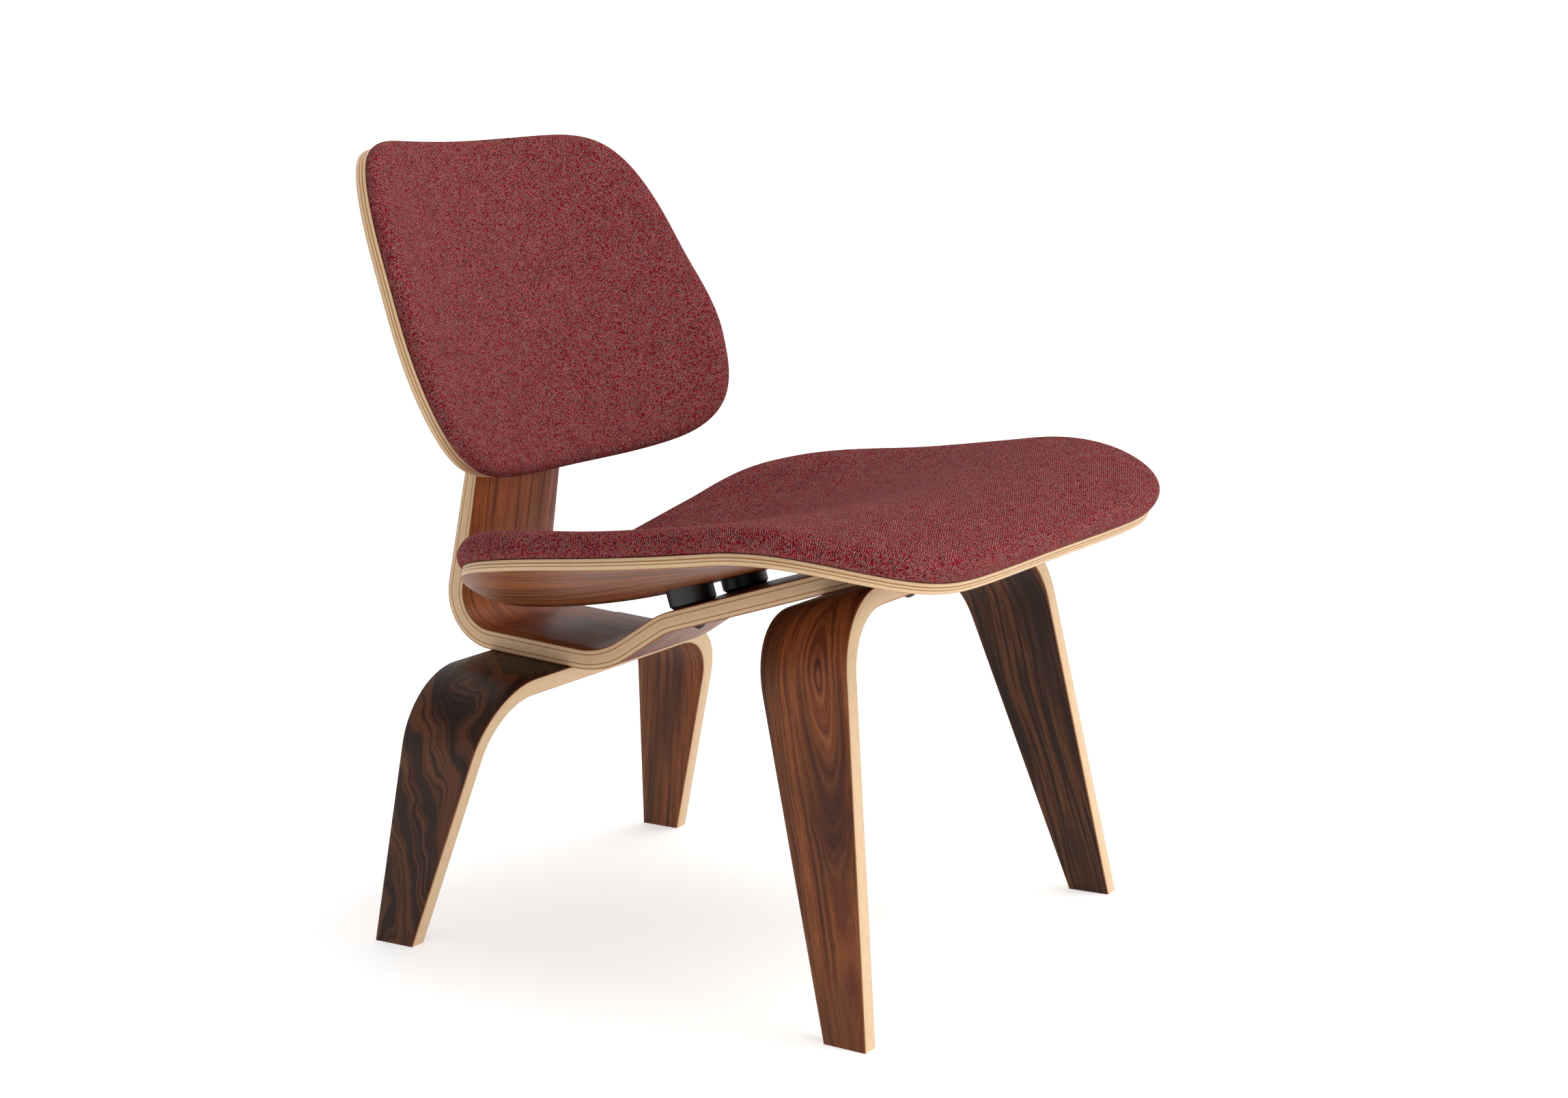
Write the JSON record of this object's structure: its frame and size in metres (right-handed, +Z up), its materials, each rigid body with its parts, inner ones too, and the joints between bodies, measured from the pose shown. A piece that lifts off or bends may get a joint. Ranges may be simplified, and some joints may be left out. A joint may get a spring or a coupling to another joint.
{
  "type": "plywood lounge chair",
  "caption": "Low lounge chair of moulded plywood: bent strip legs on a curved spine, with a dished seat and a bowed back padded in tweed on rubber discs.",
  "frame": {"origin": "on the floor, under the middle of the bounding box", "axes": "+Z up, -Y the way the sitter faces, +X to the sitter's left"},
  "size_m": [0.5726, 0.6161, 0.6737],
  "materials": {
    "plywood": "satin dark veneer, pale edges",
    "foam": "open foam",
    "tweed": "woven red tweed",
    "rubber": "matt black",
    "steel": "plain",
    "dark_steel": "blackened"
  },
  "bodies": {
    "frame": {"seat_panel": "plywood", "spine": "plywood", "front_leg": "plywood", "rear_leg": "plywood", "seat_foam": "foam", "seat_cover": "tweed", "seat_mount_front_right": "rubber", "seat_mount_front_left": "rubber", "seat_mount_rear_right": "rubber", "seat_mount_rear_left": "rubber", "back_mount_right": "rubber", "back_mount_left": "rubber", "seat_inserts": "steel", "back_inserts": "steel", "seat_front_screws": "dark_steel", "seat_rear_screws": "dark_steel", "back_screws": "dark_steel", "front_leg_screws": "dark_steel", "rear_leg_screws": "dark_steel"},
    "back": {"back_panel": "plywood", "back_foam": "foam", "back_cover": "tweed"}
  },
  "joints": [
    {"name": "back_flex", "type": "hinge", "parent": "frame", "child": "back", "pos_m": [0, 0.24962, 0.51991], "axis": [-1, 0, 0], "range_deg": [-2, 4], "stiffness_Nm_per_rad": 260}
  ]
}
